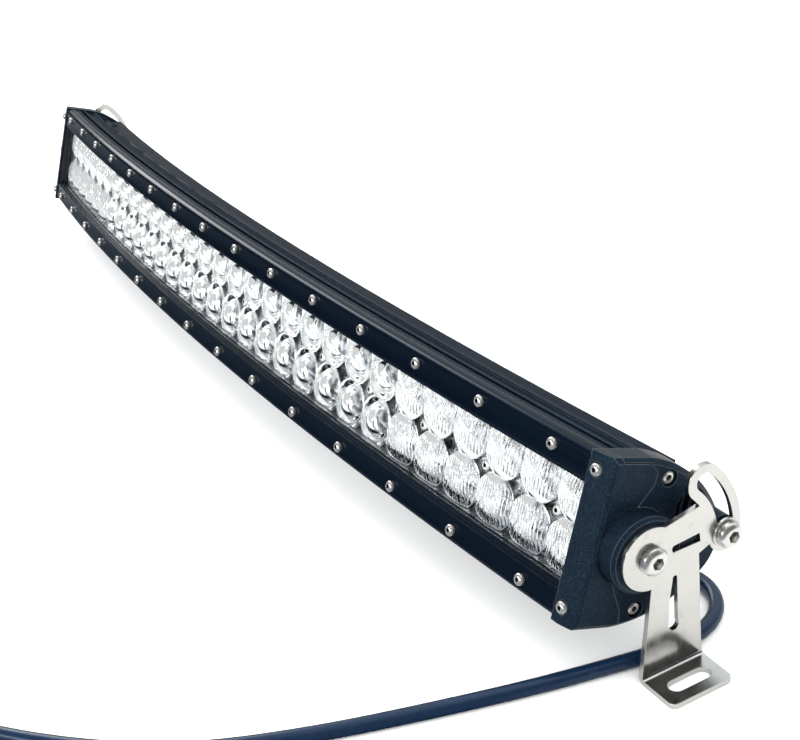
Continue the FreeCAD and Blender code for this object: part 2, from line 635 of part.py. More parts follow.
def connector(tip, heading):
    """Two-way sealed automotive plug, lying on the floor at the end of the lead."""
    boot = Part.makeCone(4.2, 6.4, 12.0, V(0, 0, 0), X_AXIS)
    shell = box(11.5, PLUG_L, -8.0, 8.0, -6.0, 6.0)
    shell = shell.makeFillet(2.2, [e for e in shell.Edges if abs(e.tangentAt(e.FirstParameter).x) > 0.9])
    collar = box(14.0, 17.0, -9.0, 9.0, -6.9, 6.9)
    collar = collar.makeFillet(2.6, [e for e in collar.Edges if abs(e.tangentAt(e.FirstParameter).x) > 0.9])
    latch = box(22.0, 40.0, -2.6, 2.6, 5.5, 7.0)
    mouth = box(PLUG_L - 14.0, PLUG_L + 1, -6.4, 6.4, -4.4, 4.4)
    body = boot.fuse(shell).fuse(collar).fuse(latch).cut(mouth)
    for y in (-3.0, 3.0):
        body = body.fuse(ring((PLUG_L - 15, y, 0), X_AXIS, 2.2, 1.1, 12.0))
    return along(body, tip + V(0, 0, 6.9 - CORD_R), heading)


# ---------------------------------------------------------------- placing
SHIFT_Y = 0.0


def tilted(shape):
    """From the lamp's upright frame to the frame of the finished part."""
    moved = shape.copy()
    moved.rotate(V(0, PIVOT_Y, 0), X_AXIS, -TILT)
    moved.translate(V(0, SHIFT_Y - PIVOT_Y, PIVOT_H))
    return moved


def standing(shape):
    moved = shape.copy()
    moved.translate(V(0, SHIFT_Y, PIVOT_H))
    return moved


def lamp_parts():
    rail_screw = screw(2.75, 2.3, 1.5, 10.0, 2.0)
    top_rail = lens_rail()
    parts = {
        "housing_extrusion": housing_extrusion(),
        "top_lens_rail": top_rail,
        "bottom_lens_rail": top_rail.mirror(V(0, 0, 0), Z_AXIS),
        "lens_cover": lens_cover(),
        "lens_gasket": lens_gasket(),
        "led_board_left": led_board(-366.0, -125.3),
        "led_board_middle": led_board(-124.7, 124.7),
        "led_board_right": led_board(125.3, 366.0),
        "led_emitters": led_emitters(),
        "driver_board": driver_board(),
        "driver_components": driver_components(),
        "internal_leads": internal_leads(),
        "cable_gland_body": gland_body(),
        "cable_gland_nut": gland_nut(),
        "cable_gland_seal": gland_seal(),
        "breather_vent": breather_vent(),
    }
    for index, s in enumerate(stations(), 1):
        parts["optic_module_%02d" % index] = optic_module(s)
    middle_screw = screw(2.75, 2.05, 1.5, 13.0, 2.0)
    middle_screw.translate(V(0, MIDDLE_D, 0))
    parts["optic_screws"] = group([at_arc(middle_screw, s) for s in stations()])
    for name, sign in (("top_rail_screws", 1), ("bottom_rail_screws", -1)):
        body = rail_screw.copy()
        body.translate(V(0, 0, sign * ROW_Z))
        parts[name] = group([at_arc(body, s) for s in stations()])
    right = {
        "end_cap_front": end_cap_front(),
        "end_cap_plate": end_cap_plate(),
        "end_seal": end_seal(),
        "cap_front_screws": cap_front_screws(),
        "cap_side_screws": cap_side_screws(),
        "pivot_bolt": pivot_bolt(),
        "adjust_bolt": adjust_bolt(),
        "adjust_washer": adjust_washer(),
    }
    for name, shape in right.items():
        parts["right_" + name] = shape
        parts["left_" + name] = mirrored(shape)
    return parts


def build():
    global SHIFT_Y
    lamp = lamp_parts()
    sheet = bracket()
    box_all = group([tilted(shape) for shape in lamp.values()] + [standing(sheet)]).optimalBoundingBox()
    SHIFT_Y = -(box_all.YMin + box_all.YMax) / 2
    for name, shape in lamp.items():
        nodes[name] = tilted(shape)
    nodes["right_bracket"] = standing(sheet)
    nodes["left_bracket"] = standing(mirrored(sheet))
    route = lead_route()
    nodes["supply_cord"] = tube(route, CORD_R)
    nodes["cord_connector"] = connector(route[-1], route[-1] - route[-2])
    print("pivot at y = %.3f, z = %.3f" % (SHIFT_Y, PIVOT_H))
    print("route:", [tuple(round(c, 1) for c in p) for p in route])


def export():
    os.makedirs("parts", exist_ok=True)
    for name, shape in nodes.items():
        if not shape.isValid():
            print("not valid:", name)
        shape.exportStep("parts/%s.step" % name)
    print(len(nodes), "nodes")


build()
export()
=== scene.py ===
"""Curved LED light bar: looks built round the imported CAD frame. Metres, Z up, in the row frame."""
import json
import math

import bpy
import numpy as np
from mathutils import Matrix, Vector


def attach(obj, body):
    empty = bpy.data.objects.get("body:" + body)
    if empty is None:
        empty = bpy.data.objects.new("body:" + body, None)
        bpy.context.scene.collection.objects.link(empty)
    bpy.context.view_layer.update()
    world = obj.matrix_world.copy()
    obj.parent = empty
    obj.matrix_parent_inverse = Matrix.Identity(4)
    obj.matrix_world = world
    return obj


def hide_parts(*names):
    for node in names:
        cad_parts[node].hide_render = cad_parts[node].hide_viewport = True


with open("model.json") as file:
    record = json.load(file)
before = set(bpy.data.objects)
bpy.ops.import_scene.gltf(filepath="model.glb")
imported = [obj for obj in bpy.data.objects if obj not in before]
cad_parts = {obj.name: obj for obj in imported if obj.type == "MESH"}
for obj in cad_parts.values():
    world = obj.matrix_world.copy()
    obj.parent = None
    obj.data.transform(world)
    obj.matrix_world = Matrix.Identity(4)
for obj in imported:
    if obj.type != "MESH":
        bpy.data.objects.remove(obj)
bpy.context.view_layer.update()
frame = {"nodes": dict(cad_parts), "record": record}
NODES = frame["nodes"]
MM = 0.001

# ---------------------------------------------------------------- the bar's own frame
ARC_R = 3043.0            # radius of the front of the rails, seen from above, mm
TILT = math.radians(20.5)
PIVOT_BACK = 47.3         # pivot axis behind the middle of the arc, mm
PIVOT_ROW = Vector((0.0, 4.586, 60.0))   # pivot axis in the row frame, mm
PITCH = 50.0              # from one optic module to the next along the arc, mm
MODULES = 15
FLUTED = (1, 2, 3, 13, 14, 15)
HOUSING_END = 370.2       # ends of the housing, mm from the middle
RAIL_END = 370.5          # ends of the lens rails, mm from the middle


def bar_matrix(s=0.0):
    """From the bar's own frame (along, depth, height in mm) to the row frame in metres.

    A piece is modelled at the middle of the bar, and s moves it along the arc, in mm.
    """
    centre = Matrix.Translation((0, ARC_R, 0))
    turn = centre @ Matrix.Rotation(s / ARC_R, 4, "Z") @ centre.inverted()
    lean = Matrix.Rotation(-TILT, 4, "X") @ Matrix.Translation((0, -PIVOT_BACK, 0))
    return Matrix.Scale(MM, 4) @ Matrix.Translation(PIVOT_ROW) @ lean @ turn


# ---------------------------------------------------------------- node helpers
class Shade:
    """A material with a Principled shader and short ways to add and join nodes."""

    def __init__(self, name):
        self.material = bpy.data.materials.new(name)
        self.material.use_nodes = True
        self.tree = self.material.node_tree
        self.shader = self.tree.nodes["Principled BSDF"]
        self.out = self.tree.nodes["Material Output"]

    def node(self, kind, **settings):
        made = self.tree.nodes.new("ShaderNode" + kind)
        for key, value in settings.items():
            setattr(made, key, value)
        return made

    def join(self, source, target):
        self.tree.links.new(source, target)

    def put(self, **numbers):
        for key, value in numbers.items():
            self.shader.inputs[key.replace("_", " ")].default_value = value

    def math(self, operation, a, b=None):
        made = self.node("Math", operation=operation)
        for socket, value in zip(made.inputs, (a, b)):
            if value is None:
                continue
            if isinstance(value, (int, float)):
                socket.default_value = value
            else:
                self.join(value, socket)
        return made.outputs[0]

    def place(self):
        return self.node("TexCoord").outputs["Object"]

    def stretched(self, scale, source=None):
        mapping = self.node("Mapping")
        mapping.inputs["Scale"].default_value = scale
        self.join(source or self.place(), mapping.inputs["Vector"])
        return mapping.outputs["Vector"]

    def noise(self, scale, detail=3.0, source=None, stretch=None, roughness=0.55):
        made = self.node("TexNoise")
        made.inputs["Scale"].default_value = scale
        made.inputs["Detail"].default_value = detail
        made.inputs["Roughness"].default_value = roughness
        vector = self.stretched(stretch, source) if stretch else (source or self.place())
        self.join(vector, made.inputs["Vector"])
        return made.outputs["Fac"]

    def cells(self, scale, source=None):
        made = self.node("TexVoronoi")
        made.inputs["Scale"].default_value = scale
        self.join(source or self.place(), made.inputs["Vector"])
        return made.outputs["Distance"]

    def span(self, value, low, high, to_low, to_high):
        made = self.node("MapRange")
        for name, number in zip(("From Min", "From Max", "To Min", "To Max"), (low, high, to_low, to_high)):
            made.inputs[name].default_value = number
        self.join(value, made.inputs["Value"])
        return made.outputs["Result"]

    def over(self, value, to_low, to_high):
        """Spreads a noise, which is mostly between 0.3 and 0.7, from to_low to to_high."""
        return self.span(value, 0.3, 0.7, to_low, to_high)

    def blend(self, factor, first, second):
        made = self.node("Mix", data_type="RGBA")
        self.join(factor, made.inputs[0])
        for socket, value in ((made.inputs[6], first), (made.inputs[7], second)):
            if isinstance(value, tuple):
                socket.default_value = (*value, 1.0)
            else:
                self.join(value, socket)
        return made.outputs[2]

    def bump(self, height, strength, distance, under=None):
        made = self.node("Bump")
        made.inputs["Strength"].default_value = strength
        made.inputs["Distance"].default_value = distance
        self.join(height, made.inputs["Height"])
        if under is not None:
            self.join(under, made.inputs["Normal"])
        return made.outputs["Normal"]

    def rounded(self, radius):
        made = self.node("Bevel", samples=4)
        made.inputs["Radius"].default_value = radius
        return made.outputs["Normal"]

    def hollows(self, reach):
        """0 deep in recesses such as hex sockets, and 1 in the open."""
        made = self.node("AmbientOcclusion", samples=6)
        made.inputs["Distance"].default_value = reach
        return made.outputs["AO"]

    def edges(self, radius):
        """1 on edges rounded with that radius, and 0 on faces."""
        face, edge = 0.995, 0.86     # cosines of the turn from the face to the rounded normal
        made = self.node("VectorMath", operation="DOT_PRODUCT")
        self.join(self.rounded(radius), made.inputs[0])
        self.join(self.node("NewGeometry").outputs["Normal"], made.inputs[1])
        return self.span(made.outputs["Value"], face, edge, 0.0, 1.0)

    def bar_place(self):
        """Place along the arc, depth behind its front, and height, in metres: grain follows the bar."""
        back = self.node("Mapping")
        back.inputs["Location"].default_value = -PIVOT_ROW * MM
        self.join(self.place(), back.inputs["Vector"])
        level = self.node("Mapping")
        level.inputs["Rotation"].default_value = (TILT, 0, 0)
        self.join(back.outputs["Vector"], level.inputs["Vector"])
        part = self.node("SeparateXYZ")
        self.join(level.outputs["Vector"], part.inputs[0])
        inward = self.math("SUBTRACT", (ARC_R - PIVOT_BACK) * MM, part.outputs["Y"])
        angle = self.math("ARCTAN2", part.outputs["X"], inward)
        square = self.math("ADD", self.math("MULTIPLY", inward, inward),
                           self.math("MULTIPLY", part.outputs["X"], part.outputs["X"]))
        depth = self.math("SUBTRACT", ARC_R * MM, self.math("SQRT", square))
        whole = self.node("CombineXYZ")
        self.join(self.math("MULTIPLY", angle, ARC_R * MM), whole.inputs["X"])
        self.join(depth, whole.inputs["Y"])
        self.join(part.outputs["Z"], whole.inputs["Z"])
        return whole.outputs[0]

    def colour(self, source):
        self.join(source, self.shader.inputs["Base Color"])

    def rough(self, source):
        self.join(source, self.shader.inputs["Roughness"])

    def normal(self, source):
        self.join(source, self.shader.inputs["Normal"])


# ---------------------------------------------------------------- materials
# Noise and cell scales are features per metre. Bump distances, radii and reaches are in metres.
def anodised(name, dark, light, edge_glint_strength, rough, spec, line_bump):
    """Black extrusion with fine drawn lines along the bar, and a painted highlight that makes its edges a
    little paler.
    """
    m = Shade(name)
    bar = m.bar_place()
    lines = m.noise(1.0, 4.0, bar, stretch=(6.0, 2600.0, 2600.0))
    cloud = m.noise(26.0, 3.0, bar)
    tone = m.blend(m.math("MULTIPLY", cloud, m.span(lines, 0.35, 0.7, 0.4, 1.3)), dark, light)
    # painted highlight: the paler tone below is laid on the rounded edges
    edge_glint = (0.075, 0.095, 0.125)
    m.colour(m.blend(m.math("MULTIPLY", m.edges(0.00045), edge_glint_strength), tone, edge_glint))
    m.rough(m.over(lines, rough - 0.05, rough + 0.09))
    m.normal(m.bump(lines, line_bump, 0.00012, m.rounded(0.0003)))
    m.put(Specular_IOR_Level=spec, Specular_Tint=(0.5, 0.75, 1.0, 1.0))
    return m.material


def powder_coat():
    """Cast cap in fine black powder coat: orange-peel grain with small paler specks, and a painted glint
    along its edges and seam.
    """
    m = Shade("powder_coat")
    grain = m.noise(1900.0, 2.0)
    peel = m.noise(620.0, 2.0)
    cloud = m.noise(38.0, 3.0)
    specks = m.span(m.cells(1500.0), 0.08, 0.30, 1.0, 0.0)
    speck, edge_glint = (0.10, 0.115, 0.135), (0.20, 0.23, 0.26)
    tone = m.blend(cloud, (0.0022, 0.0062, 0.0125), (0.006, 0.0125, 0.0215))
    tone = m.blend(m.math("MULTIPLY", specks, 0.4), tone, speck)
    # painted glint: a paler tone laid along the rounded edges and the seam
    m.colour(m.blend(m.math("MULTIPLY", m.edges(0.0005), 0.5), tone, edge_glint))
    m.rough(m.over(grain, 0.3, 0.46))
    m.normal(m.bump(grain, 0.35, 0.00012, m.bump(peel, 0.25, 0.0002, m.rounded(0.0006))))
    m.put(Specular_IOR_Level=0.2, Specular_Tint=(0.4, 0.7, 1.0, 1.0))
    return m.material


def bracket_steel():
    """Blanked stainless sheet: satin, brushed along its length, with a painted highlight on its edges."""
    m = Shade("bracket_stainless_satin")
    brush = m.noise(1.0, 3.0, stretch=(2600.0, 2600.0, 60.0))
    cloud = m.noise(45.0, 4.0)
    scuff = m.noise(210.0, 5.0, roughness=0.7)
    scuffed, edge_highlight, edge = (0.42, 0.405, 0.38), (0.93, 0.89, 0.78), 0.0004
    tone = m.blend(cloud, (0.67, 0.655, 0.622), (0.81, 0.795, 0.76))
    tone = m.blend(m.span(scuff, 0.56, 0.72, 0.0, 0.35), tone, scuffed)
    # painted highlight: a bright yellowish tone laid on the rounded edges
    m.colour(m.blend(m.edges(edge), tone, edge_highlight))
    m.rough(m.math("ADD", m.over(brush, 0.13, 0.22), m.span(scuff, 0.4, 0.8, 0.0, 0.08)))
    m.normal(m.bump(brush, 0.12, 0.00005, m.rounded(edge)))
    m.put(Metallic=1.0, Anisotropic=0.35)
    return m.material


def polished_steel(name, dark, light, rough, radius, metal):
    """Turned stainless, with a painted highlight on edges of that radius and painted shade in its sockets."""
    m = Shade(name)
    swirl = m.noise(700.0, 3.0)
    cloud = m.noise(120.0, 2.0)
    bright, socket = (0.95, 0.92, 0.86), (0.015, 0.015, 0.017)
    # painted highlight: the bright tone is laid on the rounded edges
    tone = m.blend(m.edges(radius), m.blend(cloud, dark, light), bright)
    # painted shade: ambient occlusion darkens recesses such as hex sockets towards the socket colour
    m.colour(m.blend(m.span(m.hollows(0.0022), 0.25, 0.8, 0.0, 1.0), socket, tone))
    m.rough(m.over(swirl, rough, rough + 0.1))
    m.normal(m.bump(swirl, 0.05, 0.00003, m.rounded(radius)))
    m.put(Metallic=metal)
    return m.material


def clear_through_shadow(m, tint):
    """Glass that lets lamps through: shadow rays meet a plain see-through shader."""
    path = m.node("LightPath")
    clear = m.node("BsdfTransparent")
    clear.inputs["Color"].default_value = (*tint, 1.0)
    both = m.node("MixShader")
    m.join(path.outputs["Is Shadow Ray"], both.inputs[0])
    m.join(m.shader.outputs[0], both.inputs[1])
    m.join(clear.outputs[0], both.inputs[2])
    m.join(both.outputs[0], m.out.inputs["Surface"])
    return m.material


def lens_glass():
    """Flat polycarbonate cover, hard coated, with the faintest dust in its roughness."""
    m = Shade("lens_polycarbonate")
    dust = m.noise(160.0, 4.0, m.bar_place())
    m.rough(m.span(dust, 0.55, 0.8, 0.0, 0.03))
    m.put(Transmission_Weight=1.0, IOR=1.12, Base_Color=(0.975, 0.985, 0.99, 1.0))
    return clear_through_shadow(m, (0.93, 0.94, 0.95))


def optic_clear(name, ripple, depth):
    """Moulded acrylic: clear, with faint flow lines that bend what is seen through it."""
    m = Shade(name)
    flow = m.noise(ripple, 2.0)
    m.normal(m.bump(flow, depth, 0.0002))
    m.rough(m.over(flow, 0.01, 0.04))
    hue = m.noise(320.0, 1.0)
    cool, warm = (0.90, 0.955, 1.0), (1.0, 0.97, 0.925)
    m.colour(m.blend(m.span(hue, 0.4, 0.6, 0.0, 1.0), cool, warm))
    m.put(Transmission_Weight=1.0, IOR=1.45)
    return clear_through_shadow(m, (0.9, 0.91, 0.92))


def optic_silver(name, dull, facets, rough):
    """Inner wall of a cup, which mirrors by total reflection: seen as silver, faceted or smooth."""
    m = Shade(name)
    facet = m.cells(430.0)
    shade = m.noise(150.0, 3.0)
    bright = (0.96, 0.965, 0.975)
    m.colour(m.blend(m.span(shade, 0.35, 0.65, 0.0, 1.0), dull, bright))
    m.rough(m.span(facet, 0.0, 0.6, rough, rough + 0.18))
    m.normal(m.bump(facet, facets, 0.0006))
    m.put(Metallic=1.0)
    return m.material


def carrier_slate():
    """Flat web between the cups: smooth plastic over the metal behind, slate grey and glossy."""
    m = Shade("optic_carrier_web")
    cloud = m.noise(130.0, 3.0)
    slate, silver = (0.035, 0.04, 0.05), (0.78, 0.80, 0.83)
    m.colour(m.blend(m.span(cloud, 0.38, 0.56, 0.0, 1.0), slate, silver))
    m.rough(m.over(cloud, 0.06, 0.14))
    m.normal(m.bump(m.noise(120.0, 1.0), 0.3, 0.0006))
    m.put(Metallic=0.85, Coat_Weight=0.35, Coat_Roughness=0.04)
    return m.material


def carrier_skirt():
    """Skirt round the cups: grey, duller than the web."""
    m = Shade("optic_carrier_skirt")
    cloud = m.noise(90.0, 3.0)
    dark, light = (0.22, 0.235, 0.26), (0.46, 0.475, 0.5)
    m.colour(m.blend(m.span(cloud, 0.35, 0.65, 0.0, 1.0), dark, light))
    m.rough(m.over(cloud, 0.18, 0.35))
    m.normal(m.bump(m.noise(240.0, 2.0), 0.15, 0.0003))
    m.put(Metallic=0.6, Coat_Weight=0.4, Coat_Roughness=0.08)
    return m.material


def moulded(name, dark, light, rough, scale, bump):
    """Moulded plastic or rubber: fine skin texture of that scale, and slightly uneven colour."""
    m = Shade(name)
    cloud = m.noise(60.0, 3.0)
    skin = m.noise(scale, 3.0)
    m.colour(m.blend(cloud, dark, light))
    m.rough(m.over(skin, rough - 0.06, rough + 0.08))
    m.normal(m.bump(skin, bump, 0.0001, m.rounded(0.0002)))
    m.put(Specular_IOR_Level=0.45)
    return m.material


def cord_jacket():
    """Navy PVC jacket, semi-gloss, with faint drag lines and a few scuffs."""
    m = Shade("cord_navy_jacket")
    cloud = m.noise(30.0, 3.0)
    drag = m.noise(240.0, 4.0)
    scuff = m.noise(75.0, 5.0, roughness=0.75)
    tone = m.blend(cloud, (0.003, 0.0125, 0.036), (0.0055, 0.0185, 0.048))
    scuffed = (0.05, 0.08, 0.13)
    m.colour(m.blend(m.span(scuff, 0.6, 0.75, 0.0, 0.12), tone, scuffed))
    m.rough(m.math("ADD", m.over(drag, 0.22, 0.34), m.span(scuff, 0.55, 0.75, 0.0, 0.12)))
    m.normal(m.bump(drag, 0.12, 0.0002))
    m.put(Specular_IOR_Level=0.45, Specular_Tint=(0.7, 0.85, 1.0, 1.0))
    m.put(Coat_Weight=0.15, Coat_Roughness=0.2)
    return m.material


def circuit(name, dark, light, trace):
    """Circuit board: lacquer over a net of copper tracks."""
    m = Shade(name)
    tracks = m.span(m.cells(330.0), 0.1, 0.2, 1.0, 0.0)
    tone = m.blend(m.noise(70.0, 3.0), dark, light)
    m.colour(m.blend(m.math("MULTIPLY", tracks, 0.35), tone, trace))
    m.rough(m.span(tracks, 0.0, 1.0, 0.42, 0.28))
    m.normal(m.bump(tracks, 0.15, 0.0001))
    return m.material


def phosphor():
    """Yellow gel over an LED chip."""
    m = Shade("led_phosphor_gel")
    grains = m.noise(2500.0, 3.0)
    m.colour(m.blend(grains, (0.82, 0.70, 0.22), (0.93, 0.84, 0.42)))
    m.rough(m.over(grains, 0.18, 0.35))
    m.normal(m.bump(grains, 0.2, 0.00005))
    m.put(Subsurface_Weight=0.1, Coat_Weight=0.5)
    return m.material


MATERIALS = {
    "housing_black": anodised(
        "housing_anodised", dark=(0.002, 0.0052, 0.0105), light=(0.007, 0.0135, 0.0235),
        edge_glint_strength=1.4, rough=0.3, spec=0.015, line_bump=0.35),
    "rail_black": anodised(
        "rail_anodised", dark=(0.0006, 0.0022, 0.0055), light=(0.0016, 0.005, 0.0115),
        edge_glint_strength=0.3, rough=0.17, spec=0.3, line_bump=0.12),
    "clear_lens": lens_glass(),
    "seal_rubber": moulded(
        "seal_rubber_black", dark=(0.012, 0.012, 0.013), light=(0.03, 0.03, 0.032),
        rough=0.6, scale=1500.0, bump=0.3),
    "board_white": circuit(
        "board_white_mask", dark=(0.72, 0.73, 0.74), light=(0.82, 0.83, 0.83), trace=(0.55, 0.56, 0.58)),
    "led_phosphor": phosphor(),
    "board_green": circuit(
        "board_green_mask", dark=(0.008, 0.07, 0.025), light=(0.015, 0.11, 0.04), trace=(0.10, 0.20, 0.06)),
    "component_dark": moulded(
        "component_epoxy", dark=(0.02, 0.02, 0.022), light=(0.05, 0.05, 0.055),
        rough=0.5, scale=2000.0, bump=0.2),
    "lead_red": moulded(
        "lead_silicone_red", dark=(0.22, 0.012, 0.012), light=(0.36, 0.02, 0.02),
        rough=0.42, scale=900.0, bump=0.15),
    "cap_powder_coat": powder_coat(),
    "screw_steel": polished_steel(
        "screw_stainless", dark=(0.66, 0.645, 0.62), light=(0.88, 0.865, 0.835),
        rough=0.17, radius=0.00018, metal=0.84),
    "bolt_steel": polished_steel(
        "bolt_stainless", dark=(0.76, 0.745, 0.715), light=(0.90, 0.885, 0.855),
        rough=0.18, radius=0.0005, metal=0.9),
    "bracket_stainless": bracket_steel(),
    "gland_black": moulded(
        "gland_nylon", dark=(0.010, 0.011, 0.013), light=(0.022, 0.024, 0.028),
        rough=0.42, scale=1400.0, bump=0.25),
    "cord_jacket": cord_jacket(),
    "connector_black": moulded(
        "connector_nylon", dark=(0.010, 0.011, 0.013), light=(0.024, 0.026, 0.030),
        rough=0.4, scale=1300.0, bump=0.25),
}
SLOT_OF = {p["node"]: p["material_slot"] for p in frame["record"]["subparts"]}
for node_name, node in NODES.items():
    chosen = MATERIALS.get(SLOT_OF[node_name])
    if chosen is not None:           # the optic modules have none, because pieces below replace them
        node.data.materials.clear()
        node.data.materials.append(chosen)

# ---------------------------------------------------------------- optics
BULB = optic_clear("optic_acrylic_bulb", ripple=190.0, depth=0.15)
FLUTE = optic_clear("optic_acrylic_fluted", ripple=90.0, depth=0.03)
WALL = optic_silver("optic_wall_faceted", dull=(0.80, 0.815, 0.83), facets=0.2, rough=0.07)
SOFT_WALL = optic_silver("optic_wall_plain", dull=(0.66, 0.68, 0.70), facets=0.04, rough=0.16)
WEB, SKIRT = carrier_slate(), carrier_skirt()
CLEAR_FACE, WALL_FACE, WEB_FACE, SKIRT_FACE = range(4)    # material places on an optic
# Lengths from here to the supply lead are in mm, in the bar's own frame.
HALF_MODULE = 24.7        # half a module along the bar
END_GAP = 0.9             # from the last modules to the ends of the housing
CUP_R, CUP_OFF = 13.5, PITCH / 4
CUP_GAP = 0.04            # half the gap between two cups
FLUTE_EDGE = CUP_R - 0.3  # where the flutes have faded out
RIM_BACK = 13.2           # depth of a cup's rim, where its silvered wall starts
BULB_APEX, DOME_APEX = 9.0, 9.2     # depth of a cup's foremost point, smooth and fluted
WEB_FRONT, WEB_BACK = 15.9, 17.4
CUT_Z = 22.8              # where the cups are cut off above and below
COARSE_PITCH, FINE_PITCH = 1.9, 1.15     # from one rib of the flutes to the next
UPPER_SLOPE, LOWER_SLOPE = -0.06, 0.16   # how far the ribs lean in the two rows of cups, radians
# (radius, depth) from the rim to the back of a cup: its wall, the ring round the LED, the dome over it
CUP_WALL = [(CUP_R, RIM_BACK), (12.4, 14.9), (11.4, 16.2), (10.3, 17.6), (9.0, 19.3), (7.5, 21.2),
            (6.2, 22.6)]
LED_RING = [(6.2, 22.6), (4.4, 22.75), (2.6, 22.6)]
LED_DOME = [(2.6, 22.6), (2.5, 21.6), (1.9, 21.15), (1.0, 20.9), (0.02, 20.85)]


class Sheets:
    """Gathers sheets of faces, each with its own points, material and shading, in the module's own frame."""

    def __init__(self):
        self.points, self.faces, self.looks, self.soft = [], [], [], []

    def grid(self, rows, look, closed=True, smooth=True):
        """rows: arrays of points, all the same length, joined into a sheet. closed joins each row's ends."""
        start, count = len(self.points), len(rows[0])
        for row in rows:
            self.points.extend(map(tuple, row))
        for i in range(len(rows) - 1):
            for j in range(count if closed else count - 1):
                k = (j + 1) % count
                a, b = start + i * count, start + (i + 1) * count
                self.faces.append((a + j, a + k, b + k, b + j))
                self.looks.append(look)
                self.soft.append(smooth)

    def piece(self, name, matrix, materials):
        """Makes one object of the sheets gathered so far, in metres once matrix has moved it."""
        mesh = bpy.data.meshes.new(name)
        mesh.from_pydata(self.points, [], self.faces)
        mesh.polygons.foreach_set("material_index", self.looks)
        mesh.polygons.foreach_set("use_smooth", self.soft)
        for material in materials:
            mesh.materials.append(material)
        mesh.transform(matrix)
        mesh.validate()
        made = bpy.data.objects.new(name, mesh)
        bpy.context.scene.collection.objects.link(made)
        return made


def ring_row(x, z, radius, depth, count, wave=None):
    """One circle of points round a cup's axis. wave moves each point back by its own amount."""
    angle = np.arange(count) * (2 * math.pi / count)
    px, pz = x + radius * np.cos(angle), z + radius * np.sin(angle)
    back = np.full(count, float(depth))
    if wave is not None:
        back = back + wave(px - x, pz - z)
    return np.stack([px, back, pz], axis=1)


def clipped(rows, low, high):
    """Holds a cup's points inside its own cell, so that it meets the next cup in a straight seam."""
    out = []
    for row in rows:
        held = row.copy()
        for axis, least, most in ((0, low[0], high[0]), (2, low[1], high[1])):
            moved = np.clip(held[:, axis], least, most) - held[:, axis]
            held[:, axis] += moved
            held[:, 1] += 0.25 * np.minimum(np.abs(moved), 1.0)     # sinks a little at the seam
        out.append(held)
    return out


def bulb_profile():
    """Smooth optic: a round bulb standing in a shallow moat, and a rolled rim round it."""
    bulb_r, ball = 8.9, 9.6
    turn = math.asin(bulb_r / ball)
    front = [(ball * math.sin(a), BULB_APEX + ball * (1 - math.cos(a)))
             for a in np.linspace(0.0, turn, 17)[1:]]
    moat = [(9.3, 15.3), (9.8, 15.4), (10.4, 14.9), (11.2, 13.9), (12.0, 13.0)]
    rim = [(12.5, 12.65), (13.0, 12.55), (13.4, 12.75), (CUP_R, RIM_BACK)]
    return front + moat + rim


def dome_profile():
    """Fluted optic: one low dome across the whole cup."""
    fall = 3.2
    out = [(r, DOME_APEX + fall * (r / FLUTE_EDGE) ** 2.0) for r in np.linspace(0.0, FLUTE_EDGE, 43)[1:]]
    return out + [(CUP_R, 12.7), (CUP_R, RIM_BACK)]


def flutes(phase, slope):
    """Fine slanted ribs over a dome, uneven as moulded ribs are, fading out at its rim."""
    def wave(x, z):
        across = x * math.cos(slope) + z * math.sin(slope)
        along = z * math.cos(slope) - x * math.sin(slope)
        sway = 0.30 * np.sin(along * 0.42 + phase) + 0.10 * np.sin(along * 0.95 + 2.0 * phase)
        coarse = np.abs(np.sin(math.pi * (across + sway) / COARSE_PITCH + phase))
        fine = 0.5 + 0.5 * np.sin(2 * math.pi * (across - 0.5 * sway) / FINE_PITCH + phase)
        swell = 0.5 + 0.5 * np.sin(along * 0.8 + across * 0.35 + phase)
        rim_fade = np.clip((FLUTE_EDGE - np.hypot(x, z)) / 1.4, 0.0, 1.0)
        end_fade = np.clip((10.3 - np.abs(z)) / 2.5, 0.0, 1.0)
        high, low, broad = 0.30, 0.12, 0.22     # heights of the coarse ribs, fine ribs and swell
        return (high * (1.0 - coarse) + low * fine + broad * swell) * rim_fade * end_fade
    return wave


def cup(sheets, x, z, fluted, half_x, phase):
    """One cup with its axis at (x, z): its front, its silvered wall, and the hollow for the LED."""
    count = 192 if fluted else 72
    wave = flutes(phase, UPPER_SLOPE if z > 0 else LOWER_SLOPE) if fluted else None
    profile = dome_profile() if fluted else bulb_profile()
    apex = DOME_APEX if fluted else BULB_APEX
    low = (CUP_GAP if x > 0 else -half_x[0], CUP_GAP if z > 0 else -CUT_Z)
    high = (half_x[1] if x > 0 else -CUP_GAP, CUT_Z if z > 0 else -CUP_GAP)

    def lay(points, look, ripple=None):
        sheets.grid(clipped([ring_row(x, z, r, d, count, ripple) for r, d in points], low, high), look)

    lay([(0.02, apex)] + profile, CLEAR_FACE, wave)
    lay(CUP_WALL, WALL_FACE)
    lay(LED_RING, WALL_FACE)
    lay(LED_DOME, CLEAR_FACE)


